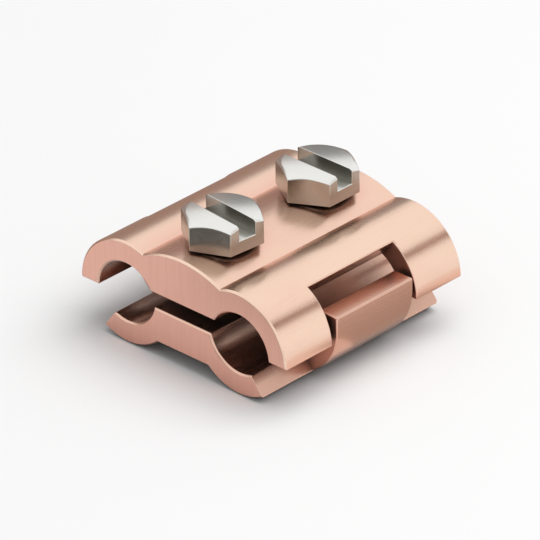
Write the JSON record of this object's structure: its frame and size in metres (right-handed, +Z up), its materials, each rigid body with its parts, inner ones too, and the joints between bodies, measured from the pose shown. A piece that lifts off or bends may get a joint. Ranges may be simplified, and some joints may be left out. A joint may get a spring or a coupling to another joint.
{
  "type": "splice clamp",
  "caption": "Parallel-groove splice clamp: copper shells that interlock at their sides, drawn together over round conductors by slotted hexagon screws.",
  "frame": {"origin": "on the surface that the lower shell's lobes stand on, below the middle of the clamp", "axes": "+X across the clamp, from one groove to the other; +Y along the conductors, with screw_front towards -Y; +Z up, out of the screws' heads"},
  "size_m": [0.0486, 0.0444, 0.0266],
  "materials": {
    "copper": "satin, drawn along the grooves",
    "stainless_steel": "satin, turned"
  },
  "bodies": {
    "lower_shell": {"lower_shell": "copper"},
    "upper_shell": {"upper_shell": "copper"},
    "screw_front": {"screw_front": "stainless_steel"},
    "screw_rear": {"screw_rear": "stainless_steel"}
  },
  "joints": [
    {"name": "clamp_lift", "type": "slide", "parent": "lower_shell", "child": "upper_shell", "axis": [0, 0, 1], "range_m": [-0.00279, 0.00375]},
    {"name": "screw_front_turn", "type": "hinge", "parent": "upper_shell", "child": "screw_front", "pos_m": [0, -0.01185, 0.021], "axis": [0, 0, 1], "range_deg": [-806, 1083]},
    {"name": "screw_rear_turn", "type": "hinge", "parent": "upper_shell", "child": "screw_rear", "pos_m": [0, 0.01185, 0.021], "axis": [0, 0, 1], "range_deg": [-806, 1083]}
  ],
  "couplings": [
    {"joint": "screw_front_turn", "follows": "clamp_lift", "rad_per_m": 5026.5},
    {"joint": "screw_rear_turn", "follows": "clamp_lift", "rad_per_m": 5026.5}
  ]
}
